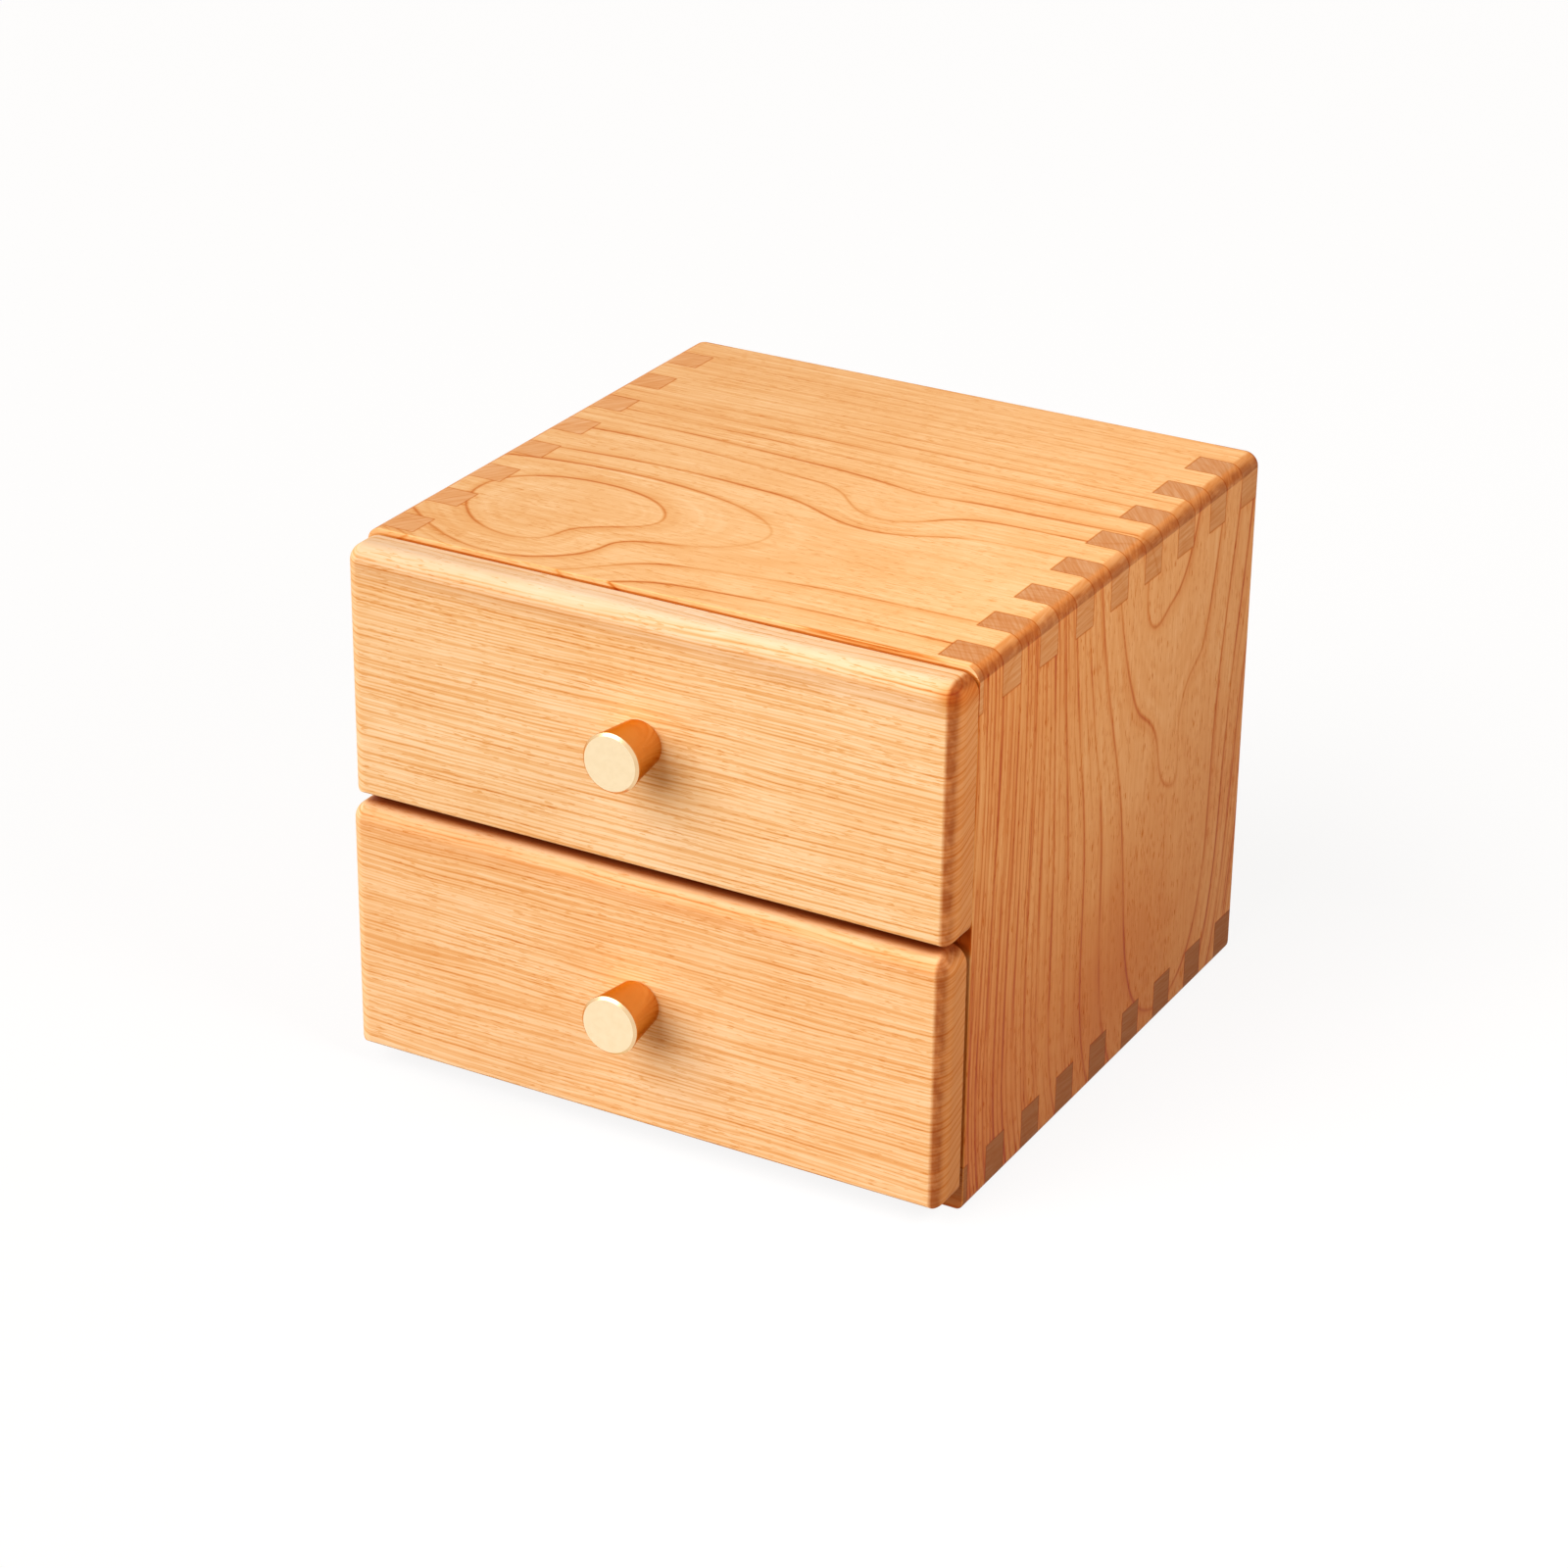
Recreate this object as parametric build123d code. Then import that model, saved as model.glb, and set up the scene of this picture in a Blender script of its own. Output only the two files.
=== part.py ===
from build123d import *
import os

# Small two-drawer organizer for a desk, in solid hardwood with brass knobs.
# Millimetres, +Z up. The origin is the centre of the carcass's underside, X runs
# across the width and the drawer fronts face -Y. The upper drawer is shut; the lower
# one stands a little out, as it is left in use.

# Carcass: four boards with finger joints along the long corners
carcass_width = 199.4
carcass_depth = 189.2
carcass_height = 170.2
board_thickness = 14.2
finger_width = 11.5
finger_start = 2.6
top_edge_radius = 4.6
bottom_edge_radius = 2.4
front_arris_radius = 0.4
rear_edge_radius = 3.0

# Shelf between the drawers, housed in the sides
shelf_thickness = 14.2
shelf_housing_depth = 5.0
shelf_front_setback = 1.0

# Back panel, screwed into a rabbet
back_panel_thickness = 6.0
back_panel_recess = 0.5
back_rabbet_width = 6.5
back_corner_radius = 4.0
back_panel_clearance = 0.2
back_screw_count_across = 3
back_screw_count_up = 2
back_screw_end_margin = 28.0

# Drawer fronts, laid over the front edges of the carcass and a little past its sides. Their
# top and ends are rounded over, and their lower edge is left crisp.
front_overhang = 0.3
front_thickness = 12.0
front_corner_radius = 5.5
front_edge_radius = 5.3
front_lower_corner_radius = 3.6
front_lower_edge_radius = 0.7
front_back_edge_radius = 0.9
front_top_reveal = 1.6
front_bottom_reveal = 7.1
front_gap = 3.2
lower_front_shelf_lap = 8.9
front_seat_clearance = 0.3
lower_drawer_ajar = 2.0

# Drawer boxes
drawer_wall = 8.0
drawer_side_clearance = 0.5
drawer_running_clearance = 0.3
drawer_top_clearance = 1.2
drawer_back_clearance = 4.0
drawer_finger_count = 7
drawer_rim_radius = 1.0
drawer_bottom_thickness = 4.0
drawer_bottom_height = 5.0
drawer_groove_depth = 4.0
drawer_groove_clearance = 0.1
drawer_panel_end_clearance = 0.3

# Turned brass knobs
knob_length = 16.5
knob_base_diameter = 14.6
knob_base_chamfer = 0.5
knob_flare_diameter = 17.9
knob_face_diameter = 18.3
knob_shoulder = 0.3
knob_rim_width = 0.7
knob_bevel = 0.8
knob_hole_depth = 10.0
knob_screw_diameter = 4.0
knob_screw_engagement = 8.5
knob_screw_head_diameter = 8.4
knob_screw_head_height = 2.2
knob_screw_tip_chamfer = 0.4

# Countersunk wood screws, and the cross recess of every screw head
wood_screw_diameter = 3.0
wood_screw_head_diameter = 5.8
wood_screw_head_height = 1.7
wood_screw_head_edge = 0.3
wood_screw_tip_radius = 0.2
wood_screw_point_length = 4.0
back_screw_length = 16.0
front_screw_length = 16.0
front_screw_side_margin = 26.0
front_screw_height_margin = 13.0
screw_hole_clearance = 0.05
screw_recess_depth = 1.1
screw_recess_width = 0.8
screw_recess_length = 3.2

# Places worked out from the sizes above
front_plane = -carcass_depth / 2
rear_plane = carcass_depth / 2
carcass_x = (-carcass_width / 2, carcass_width / 2)
carcass_y = (front_plane, rear_plane)
carcass_z = (0, carcass_height)
inner_half_width = carcass_width / 2 - board_thickness
inner_bottom = board_thickness
inner_top = carcass_height - board_thickness
opening_height = (inner_top - inner_bottom - shelf_thickness) / 2
shelf_bottom = inner_bottom + opening_height
shelf_top = shelf_bottom + shelf_thickness
back_panel_rear = rear_plane - back_panel_recess
back_panel_front = back_panel_rear - back_panel_thickness
fronts_meet = shelf_bottom + lower_front_shelf_lap


def block(x_span, y_span, z_span):
    """A box given by its low and high limit along each axis."""
    sizes = [high - low for low, high in (x_span, y_span, z_span)]
    centre = [(low + high) / 2 for low, high in (x_span, y_span, z_span)]
    return Pos(*centre) * Box(*sizes)


def inset(span, amount):
    """A span drawn in by amount at both ends."""
    return (span[0] + amount, span[1] - amount)


def end_spans(span, width):
    """The two spans of this width at the ends of a longer one."""
    return (span[0], span[0] + width), (span[1] - width, span[1])


def spread(low, high, count):
    """Evenly spaced places from low to high."""
    step = (high - low) / (count - 1)
    return [low + index * step for index in range(count)]


def alternate_spans(start, width, end):
    """Every other finger of a joint, from start to end; the last one may be cut short."""
    shortest = 0.05 * width
    spans = []
    low = start
    while low < end - shortest:
        spans.append((low, min(low + width, end)))
        low += 2 * width
    return spans


def save(part, name):
    """Write one sub-part to its own file."""
    part.label = name
    export_step(part, f"parts/{name}.step")


def lying_along_y(solid, level):
    """The edges of a block that run front to back: the lowest ones for level 0, the highest for -1."""
    return solid.edges().filter_by(Axis.Y).group_by(Axis.Z)[level]


def carcass_outside():
    """The closed outer block of the carcass, with its rounded edges."""
    outside = block(carcass_x, carcass_y, carcass_z)
    outside = fillet(lying_along_y(outside, -1), top_edge_radius)
    outside = fillet(lying_along_y(outside, 0), bottom_edge_radius)
    outside = fillet(outside.faces().sort_by(Axis.Y)[0].edges(), front_arris_radius)
    return fillet(outside.faces().sort_by(Axis.Y)[-1].edges(), rear_edge_radius)


def back_panel_block(clearance, rear):
    """The back panel between its front face and rear, grown by clearance at its edges."""
    half_width = inner_half_width + back_rabbet_width + clearance
    low = inner_bottom - back_rabbet_width - clearance
    high = inner_top + back_rabbet_width + clearance
    panel = block((-half_width, half_width), (back_panel_front, rear), (low, high))
    return fillet(panel.edges().filter_by(Axis.Y), back_corner_radius + clearance)


def shelf_block():
    """The shelf, with its ends in the sides."""
    half_width = inner_half_width + shelf_housing_depth
    return block((-half_width, half_width), (front_plane + shelf_front_setback, back_panel_front),
                 (shelf_bottom, shelf_top))


def screw_recess():
    """The cross recess of a screw head, cut down along -Y from the origin."""
    recess = Box(screw_recess_length, 2 * screw_recess_depth, screw_recess_width)
    return recess + Box(screw_recess_width, 2 * screw_recess_depth, screw_recess_length)


def wood_screw(length):
    """A countersunk wood screw: the top of its head at the origin, pointing along -Y."""
    radius = wood_screw_diameter / 2
    head_radius = wood_screw_head_diameter / 2
    with BuildPart() as screw:
        with BuildSketch(Plane.XY):
            Polygon((0, 0), (head_radius, 0), (head_radius, -wood_screw_head_edge),
                    (radius, -wood_screw_head_height), (radius, wood_screw_point_length - length),
                    (wood_screw_tip_radius, -length), (0, -length), align=None)
        revolve(axis=Axis.Y)
    return screw.part - screw_recess()


def wood_screw_hole(length):
    """The hole that a wood screw sits in, countersunk for its head."""
    radius = wood_screw_diameter / 2 + screw_hole_clearance
    head_radius = wood_screw_head_diameter / 2 + screw_hole_clearance
    mouth = wood_screw_head_height
    end = -length - screw_hole_clearance
    with BuildPart() as hole:
        with BuildSketch(Plane.XY):
            Polygon((0, mouth), (head_radius, mouth), (head_radius, -wood_screw_head_edge),
                    (radius, -wood_screw_head_height), (radius, end), (0, end), align=None)
        revolve(axis=Axis.Y)
    return hole.part


def back_screw_places():
    """Screws round the edge of the back panel, in the middle of the rabbet's ledge."""
    x_edge = inner_half_width + back_rabbet_width / 2
    z_edges = (inner_bottom - back_rabbet_width / 2, inner_top + back_rabbet_width / 2)
    x_edges = (-x_edge, x_edge)
    across = spread(*inset(x_edges, back_screw_end_margin), back_screw_count_across)
    upright = spread(*inset(z_edges, back_screw_end_margin), back_screw_count_up)
    places = [(x, z) for x in across for z in z_edges]
    places += [(x, z) for x in x_edges for z in upright]
    return [Pos(x, back_panel_rear, z) for x, z in places]


def build_carcass():
    outside = carcass_outside()
    side_spans = end_spans(carcass_x, board_thickness)
    board_spans = end_spans(carcass_z, board_thickness)
    fingers = [block(x_span, y_span, carcass_z) for x_span in side_spans
               for y_span in alternate_spans(front_plane + finger_start, finger_width, rear_plane)]
    bottom, top = [block(carcass_x, carcass_y, z_span) - fingers for z_span in board_spans]
    left, right = [block(x_span, carcass_y, carcass_z) - [bottom, top] for x_span in side_spans]

    shelf = shelf_block()
    screw_places = back_screw_places()
    screw_holes = [place * wood_screw_hole(back_screw_length) for place in screw_places]
    cuts = [back_panel_block(back_panel_clearance, rear_plane)] + screw_holes
    for name, board in (("bottom_board", bottom), ("top_board", top)):
        save((board & outside) - cuts, name)
    for name, board in (("left_side", left), ("right_side", right)):
        save((board & outside) - cuts - shelf, name)
    save(shelf, "shelf")
    save(back_panel_block(0, back_panel_rear) - screw_holes, "back_panel")
    screws = [place * wood_screw(back_screw_length) for place in screw_places]
    save(Compound(children=screws), "back_panel_screws")


def knob():
    """A turned knob that widens outwards: its base on the origin, pointing along -Y."""
    base = knob_base_diameter / 2
    face = knob_face_diameter / 2
    bevel_start = knob_bevel - knob_length
    shoulder_end = bevel_start + knob_rim_width
    with BuildPart() as body:
        with BuildSketch(Plane.XY):
            Polygon((0, 0), (base - knob_base_chamfer, 0), (base, -knob_base_chamfer),
                    (knob_flare_diameter / 2, shoulder_end + knob_shoulder), (face, shoulder_end),
                    (face, bevel_start), (face - knob_bevel, -knob_length), (0, -knob_length), align=None)
        revolve(axis=Axis.Y)
    hole = Cylinder(knob_screw_diameter / 2 + screw_hole_clearance, knob_hole_depth,
                    align=(Align.CENTER, Align.CENTER, Align.MIN), rotation=(90, 0, 0))
    return body.part - hole


def knob_screw():
    """The machine screw from inside the drawer: the underside of its head at the origin, shank along -Y."""
    length = drawer_wall + front_thickness + knob_screw_engagement
    head_radius = knob_screw_head_diameter / 2
    dome_radius = (head_radius**2 + knob_screw_head_height**2) / (2 * knob_screw_head_height)
    dome = Pos(0, knob_screw_head_height - dome_radius, 0) * Sphere(dome_radius)
    wide = (-dome_radius, dome_radius)
    head = dome & block(wide, (0, 2 * knob_screw_head_height), wide)
    shank = Pos(0, -length / 2, 0) * Cylinder(knob_screw_diameter / 2, length, rotation=(90, 0, 0))
    tip = shank.edges().filter_by(GeomType.CIRCLE).sort_by(Axis.Y)[0]
    screw = head + chamfer(tip, knob_screw_tip_chamfer)
    return screw - Pos(0, knob_screw_head_height, 0) * screw_recess()


def drawer_front(seat, z_span):
    """An overlay front; seat is its back face. The rounding of its top and ends runs out past
    its lower edge, where a block with smaller radii cuts it off."""
    x_span = inset(carcass_x, -front_overhang)
    y_span = (seat - front_thickness, seat)
    run_out = 2 * front_edge_radius
    rounded = block(x_span, y_span, (z_span[0] - run_out, z_span[1]))
    rounded = fillet(lying_along_y(rounded, -1), front_corner_radius)
    outer_edges = rounded.faces().sort_by(Axis.Y)[0].edges().sort_by(Axis.Z)[1:]
    rounded = fillet(outer_edges, front_edge_radius)

    crisp = block(x_span, y_span, z_span)
    crisp = fillet(lying_along_y(crisp, -1), front_corner_radius)
    crisp = fillet(lying_along_y(crisp, 0), front_lower_corner_radius)
    crisp = fillet(crisp.faces().sort_by(Axis.Y)[0].edges(), front_lower_edge_radius)
    crisp = fillet(crisp.faces().sort_by(Axis.Y)[-1].edges(), front_back_edge_radius)
    return rounded & crisp


def drawer_box_spans(opening_bottom, pulled_out):
    """The outer limits of a drawer's box along X, Y and Z."""
    y_shift = -front_seat_clearance - pulled_out
    x_span = inset((-inner_half_width, inner_half_width), drawer_side_clearance)
    y_span = (front_plane + y_shift, back_panel_front - drawer_back_clearance + y_shift)
    z_span = (opening_bottom + drawer_running_clearance,
              opening_bottom + opening_height - drawer_top_clearance)
    return x_span, y_span, z_span


def drawer_bottom(spans, reach, face_clearance):
    """A drawer's bottom panel or its groove; reach is how far it goes into the walls."""
    x_span, y_span, z_span = spans
    low = z_span[0] + drawer_bottom_height
    high = low + drawer_bottom_thickness
    margin = drawer_wall - reach
    return block(inset(x_span, margin), inset(y_span, margin), inset((low, high), -face_clearance))


def drawer_walls(spans):
    """The four boards of a drawer's box, with finger joints at its corners."""
    x_span, y_span, z_span = spans
    x_ends = end_spans(x_span, drawer_wall)
    y_ends = end_spans(y_span, drawer_wall)
    finger = (z_span[1] - z_span[0]) / drawer_finger_count
    fingers = [block(x_end, y_span, z_finger) for x_end in x_ends
               for z_finger in alternate_spans(z_span[0], finger, z_span[1])]
    front, back = [block(x_span, y_end, z_span) - fingers for y_end in y_ends]
    left, right = [block(x_end, y_span, z_span) - [front, back] for x_end in x_ends]
    box = block(x_span, y_span, z_span)
    outside = fillet(box.faces().sort_by(Axis.Z)[-1].edges(), drawer_rim_radius)
    groove = drawer_bottom(spans, drawer_groove_depth, drawer_groove_clearance)
    return [(wall & outside) - groove for wall in (front, back, left, right)]


def build_drawer(name, opening_bottom, front_span, pulled_out):
    """One drawer: a finger-jointed box with its bottom in a groove, an overlay front and a knob."""
    spans = drawer_box_spans(opening_bottom, pulled_out)
    x_span, y_span, z_span = spans
    seat = y_span[0]
    inner_face = seat + drawer_wall
    knob_place = Pos(0, inner_face, (front_span[0] + front_span[1]) / 2)
    knob_bore_length = 2 * (drawer_wall + front_thickness + drawer_rim_radius)
    knob_bore = knob_place * Cylinder(knob_screw_diameter / 2 + screw_hole_clearance, knob_bore_length,
                                      rotation=(90, 0, 0))
    screw_places = [Pos(x, inner_face, z) for x in inset(x_span, front_screw_side_margin)
                    for z in inset(z_span, front_screw_height_margin)]
    screw_holes = [place * wood_screw_hole(front_screw_length) for place in screw_places]
    screws = [place * wood_screw(front_screw_length) for place in screw_places]

    front, back, left, right = drawer_walls(spans)
    save(front - knob_bore - screw_holes, f"{name}_box_front")
    save(back, f"{name}_box_back")
    save(left, f"{name}_box_left")
    save(right, f"{name}_box_right")
    save(drawer_bottom(spans, drawer_groove_depth - drawer_panel_end_clearance, 0), f"{name}_bottom")
    save(drawer_front(seat, front_span) - knob_bore - screw_holes, f"{name}_front")
    save(Compound(children=screws), f"{name}_front_screws")
    save(knob_place * Pos(0, -drawer_wall - front_thickness, 0) * knob(), f"{name}_knob")
    save(knob_place * knob_screw(), f"{name}_knob_screw")


def main():
    os.makedirs("parts", exist_ok=True)
    build_carcass()
    upper_front = (fronts_meet + front_gap, carcass_height - front_top_reveal)
    lower_front = (front_bottom_reveal, fronts_meet)
    build_drawer("upper_drawer", shelf_top, upper_front, 0)
    build_drawer("lower_drawer", inner_bottom, lower_front, lower_drawer_ajar)


main()
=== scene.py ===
import math
import bpy
from mathutils import Matrix, Vector


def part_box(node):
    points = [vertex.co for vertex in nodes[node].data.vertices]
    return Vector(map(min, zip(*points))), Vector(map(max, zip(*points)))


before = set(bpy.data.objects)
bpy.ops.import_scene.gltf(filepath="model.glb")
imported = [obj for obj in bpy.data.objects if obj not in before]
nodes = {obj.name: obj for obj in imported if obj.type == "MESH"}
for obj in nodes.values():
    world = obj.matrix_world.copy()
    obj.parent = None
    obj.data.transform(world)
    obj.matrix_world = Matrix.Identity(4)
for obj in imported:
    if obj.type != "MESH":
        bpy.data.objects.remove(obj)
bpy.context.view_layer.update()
mm = 0.001
white = (1, 1, 1, 1)


# Small helpers for building node trees

def newTree(name, inputs, outputs):
    tree = bpy.data.node_groups.new(name, "ShaderNodeTree")
    for label, kind, value in inputs:
        socket = tree.interface.new_socket(name=label, in_out="INPUT", socket_type="NodeSocket" + kind)
        socket.default_value = value
    for label, kind in outputs:
        tree.interface.new_socket(name=label, in_out="OUTPUT", socket_type="NodeSocket" + kind)
    return tree, tree.nodes.new("NodeGroupInput").outputs, tree.nodes.new("NodeGroupOutput").inputs


def feed(tree, socket, value):
    if isinstance(value, bpy.types.NodeSocket):
        tree.links.new(value, socket)
    else:
        socket.default_value = value


def calc(tree, operation, *values):
    node = tree.nodes.new("ShaderNodeMath")
    node.operation = operation
    for socket, value in zip(node.inputs, values):
        feed(tree, socket, value)
    return node.outputs[0]


def calcVector(tree, operation, *values):
    node = tree.nodes.new("ShaderNodeVectorMath")
    node.operation = operation
    for socket, value in zip(node.inputs, values):
        feed(tree, socket, value)
    return node.outputs["Value"] if operation in ("LENGTH", "DOT_PRODUCT") else node.outputs["Vector"]


def splitVector(tree, vector):
    node = tree.nodes.new("ShaderNodeSeparateXYZ")
    tree.links.new(vector, node.inputs[0])
    return node.outputs


def joinVector(tree, *values):
    node = tree.nodes.new("ShaderNodeCombineXYZ")
    for socket, value in zip(node.inputs, values):
        feed(tree, socket, value)
    return node.outputs[0]


def ease(tree, value, low, high, toLow=0.0, toHigh=1.0):
    node = tree.nodes.new("ShaderNodeMapRange")
    node.interpolation_type = "SMOOTHSTEP"
    for label, number in (("Value", value), ("From Min", low), ("From Max", high),
                          ("To Min", toLow), ("To Max", toHigh)):
        feed(tree, node.inputs[label], number)
    return node.outputs["Result"]


def fade(tree, value, low, high):
    return ease(tree, value, low, high, 1.0, 0.0)


def noise(tree, point, stretch, detail=2.0, rough=0.5, shift=0.0):
    # stretch is the size of one patch of the noise along each axis, in the point's own units
    node = tree.nodes.new("ShaderNodeTexNoise")
    node.noise_dimensions = "4D"
    node.inputs["Scale"].default_value = 1.0
    node.inputs["Detail"].default_value = detail
    node.inputs["Roughness"].default_value = rough
    feed(tree, node.inputs["W"], shift)
    scaled = calcVector(tree, "DIVIDE", point, stretch)
    tree.links.new(scaled, node.inputs["Vector"])
    return node.outputs["Fac"]


def blendColour(tree, amount, first, second, how="MIX"):
    node = tree.nodes.new("ShaderNodeMix")
    node.data_type = "RGBA"
    node.blend_type = how
    feed(tree, node.inputs["Factor"], amount)
    feed(tree, node.inputs["A"], first)
    feed(tree, node.inputs["B"], second)
    return node.outputs["Result"]


def useTree(tree, group, **values):
    node = tree.nodes.new("ShaderNodeGroup")
    node.node_tree = group
    for label, value in values.items():
        feed(tree, node.inputs[label], value)
    return node.outputs


# Wood: growth rings round a pith line, swellings that bend them, and the figure they draw on a cut face.
# A point is given in mm along the grain, across the face and out of the face.

ringBend = {"slow": (110, 34, 34), "quick": (22, 7, 7), "quickShare": 0.22}


def makeRingTree():
    tree, given, made = newTree(
        "growthRings",
        [("Point", "Vector", (0, 0, 0)), ("PithAcross", "Float", 0.0), ("PithDepth", "Float", -30.0),
         ("PithTilt", "Float", 0.0), ("Packing", "Float", 1200.0), ("Wander", "Float", 3.0),
         ("Seed", "Float", 0.0)],
        [("Rings", "Float"), ("Lean", "Vector")])
    point, seed, tilt = given["Point"], given["Seed"], given["PithTilt"]
    x, y, z = splitVector(tree, point)
    slow = calc(tree, "SUBTRACT", noise(tree, point, ringBend["slow"], 2.0, 0.45, seed), 0.5)
    quick = calc(tree, "SUBTRACT", noise(tree, point, ringBend["quick"], 2.0, 0.5, seed), 0.5)
    bend = calc(tree, "MULTIPLY_ADD", quick, ringBend["quickShare"], slow)
    drift = calc(tree, "MULTIPLY", bend, given["Wander"])
    across = calc(tree, "ADD", calc(tree, "SUBTRACT", y, given["PithAcross"]), drift)
    depth = calc(tree, "SUBTRACT", z, calc(tree, "MULTIPLY_ADD", x, tilt, given["PithDepth"]))
    square = calc(tree, "ADD", calc(tree, "MULTIPLY", across, across), calc(tree, "MULTIPLY", depth, depth))
    tree.links.new(calc(tree, "DIVIDE", square, given["Packing"]), made["Rings"])

    # the direction in which the ring count grows, in rings per mm
    alongGrain = calc(tree, "MULTIPLY", depth, calc(tree, "MULTIPLY", tilt, -1.0))
    halfPacking = calc(tree, "MULTIPLY", given["Packing"], 0.5)
    lean = calcVector(tree, "DIVIDE", joinVector(tree, alongGrain, across, depth), halfPacking)
    tree.links.new(lean, made["Lean"])
    return tree


def makeSwellingTree():
    tree, given, made = newTree(
        "growthSwelling",
        [("Point", "Vector", (0, 0, 0)), ("Centre", "Vector", (0, 0, 0)),
         ("Spread", "Vector", (10, 10, 10)), ("Height", "Float", 1.0)],
        [("Rings", "Float"), ("Lean", "Vector")])
    fromCentre = calcVector(tree, "SUBTRACT", given["Point"], given["Centre"])
    away = calcVector(tree, "DIVIDE", fromCentre, given["Spread"])
    fall = calc(tree, "EXPONENT", calc(tree, "MULTIPLY", calcVector(tree, "DOT_PRODUCT", away, away), -1.0))
    rise = calc(tree, "MULTIPLY", fall, given["Height"])
    tree.links.new(rise, made["Rings"])
    # the slope of the bell that the swelling is
    lean = calcVector(tree, "MULTIPLY", calcVector(tree, "DIVIDE", away, given["Spread"]), (-2, -2, -2))
    tree.links.new(calcVector(tree, "MULTIPLY", lean, rise), made["Lean"])
    return tree


# One dark line for each year, crisp towards the pith and soft outwards, and stronger in some places.
# softReach is in line widths.
ringLine = {"softReach": 4.0, "softInk": 0.4, "stretch": (40, 60, 60), "patches": (0.34, 0.62, 0.22, 1.0),
            "ringStep": 3.7}


def ringMarks(tree, rings, slope, point, width, seed):
    year = calc(tree, "FRACT", rings)
    before = calc(tree, "DIVIDE", calc(tree, "SUBTRACT", 1.0, year), slope)
    after = calc(tree, "DIVIDE", year, slope)
    edge = calc(tree, "DIVIDE", calc(tree, "MINIMUM", before, after), width)
    line = calc(tree, "EXPONENT", calc(tree, "MULTIPLY", calc(tree, "MULTIPLY", edge, edge), -1.0))
    softWidth = calc(tree, "MULTIPLY", width, -ringLine["softReach"])
    soft = calc(tree, "EXPONENT", calc(tree, "DIVIDE", after, softWidth))
    ownSeed = calc(tree, "MULTIPLY", calc(tree, "ROUND", rings), ringLine["ringStep"])
    which = calc(tree, "ADD", ownSeed, seed)
    strong = ease(tree, noise(tree, point, ringLine["stretch"], 2.0, 0.5, which), *ringLine["patches"])
    return calc(tree, "MULTIPLY", calc(tree, "MULTIPLY_ADD", soft, ringLine["softInk"], line), strong)


# The carcass's seams and its painted shade, in mm in the part's own frame. The row of fingers starts at the
# front with the rest of a cut finger, and each finger has a seam round it.
low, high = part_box("top_board")
joints = {"halfWidth": high.x / mm, "height": high.z / mm, "board": (high.z - low.z) / mm,
          "face": low.y / mm, "faceDepth": 0.25, "firstFinger": 2.6, "finger": 11.5,
          "seamWidth": (0.15, 0.42), "seamInk": 1.5}

# Painted shade: a dark line on its front face round the top of the upper drawer front, where the groove
# lies in shade
grooveShade = {"halfWidth": 94.5, "height": 163.1, "corner": 5.5, "width": (0.05, 0.45), "inside": (-1.6, -0.8),
          "rise": (148, 160), "leftEnd": (-97, -82, 0.3, 1.0), "ink": 3.4}
# Painted shade: a thin dark line along the foot, where the carcass stands on the floor
footShade = {"height": (0.3, 2.0), "ink": 1.6}

# Painted shade in the gap between the drawer fronts: the carcass is darkened beside it, and the edges that
# the fronts turn to each other are darkened more where an occlusion node finds them less open. Its reach is
# in metres, the rest in mm.
gapShade = {"height": 87.9, "beside": (2, 7), "besideInk": 4.0, "reach": 11 * mm, "samples": 6,
       "openness": (0.08, 0.77), "zone": (7, 11), "turnedBack": (0.3, 0.7), "tint": (0.40, 0.115, 0.035, 1)}

# Painted shade on the carcass's rounded upper edge and the fronts' rounded ends, both at the right, where
# they turn away from the key light; it is darker in patches. The dark begins and ends at turns of the
# surface, from 0 to 1.
edgeShade = {"begins": (0.03, 0.13), "ends": (0.5, 0.95), "turnedRight": (0.1, 0.3), "stretch": (4, 5, 4),
            "patches": (0.25, 0.7, 0.55, 1.2), "seed": 2.0, "tone": (0.60, 0.44, 0.36, 1)}
endShade = {"begins": (0.12, 0.42), "ends": (0.62, 0.95), "stretch": (4, 4, 5),
           "patches": (0.25, 0.7, 0.45, 1.1), "tone": (0.50, 0.35, 0.28, 1)}


def shadePatches(tree, place, shaded, seed):
    return ease(tree, noise(tree, place, shaded["stretch"], 3.0, 0.65, seed), *shaded["patches"])


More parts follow.
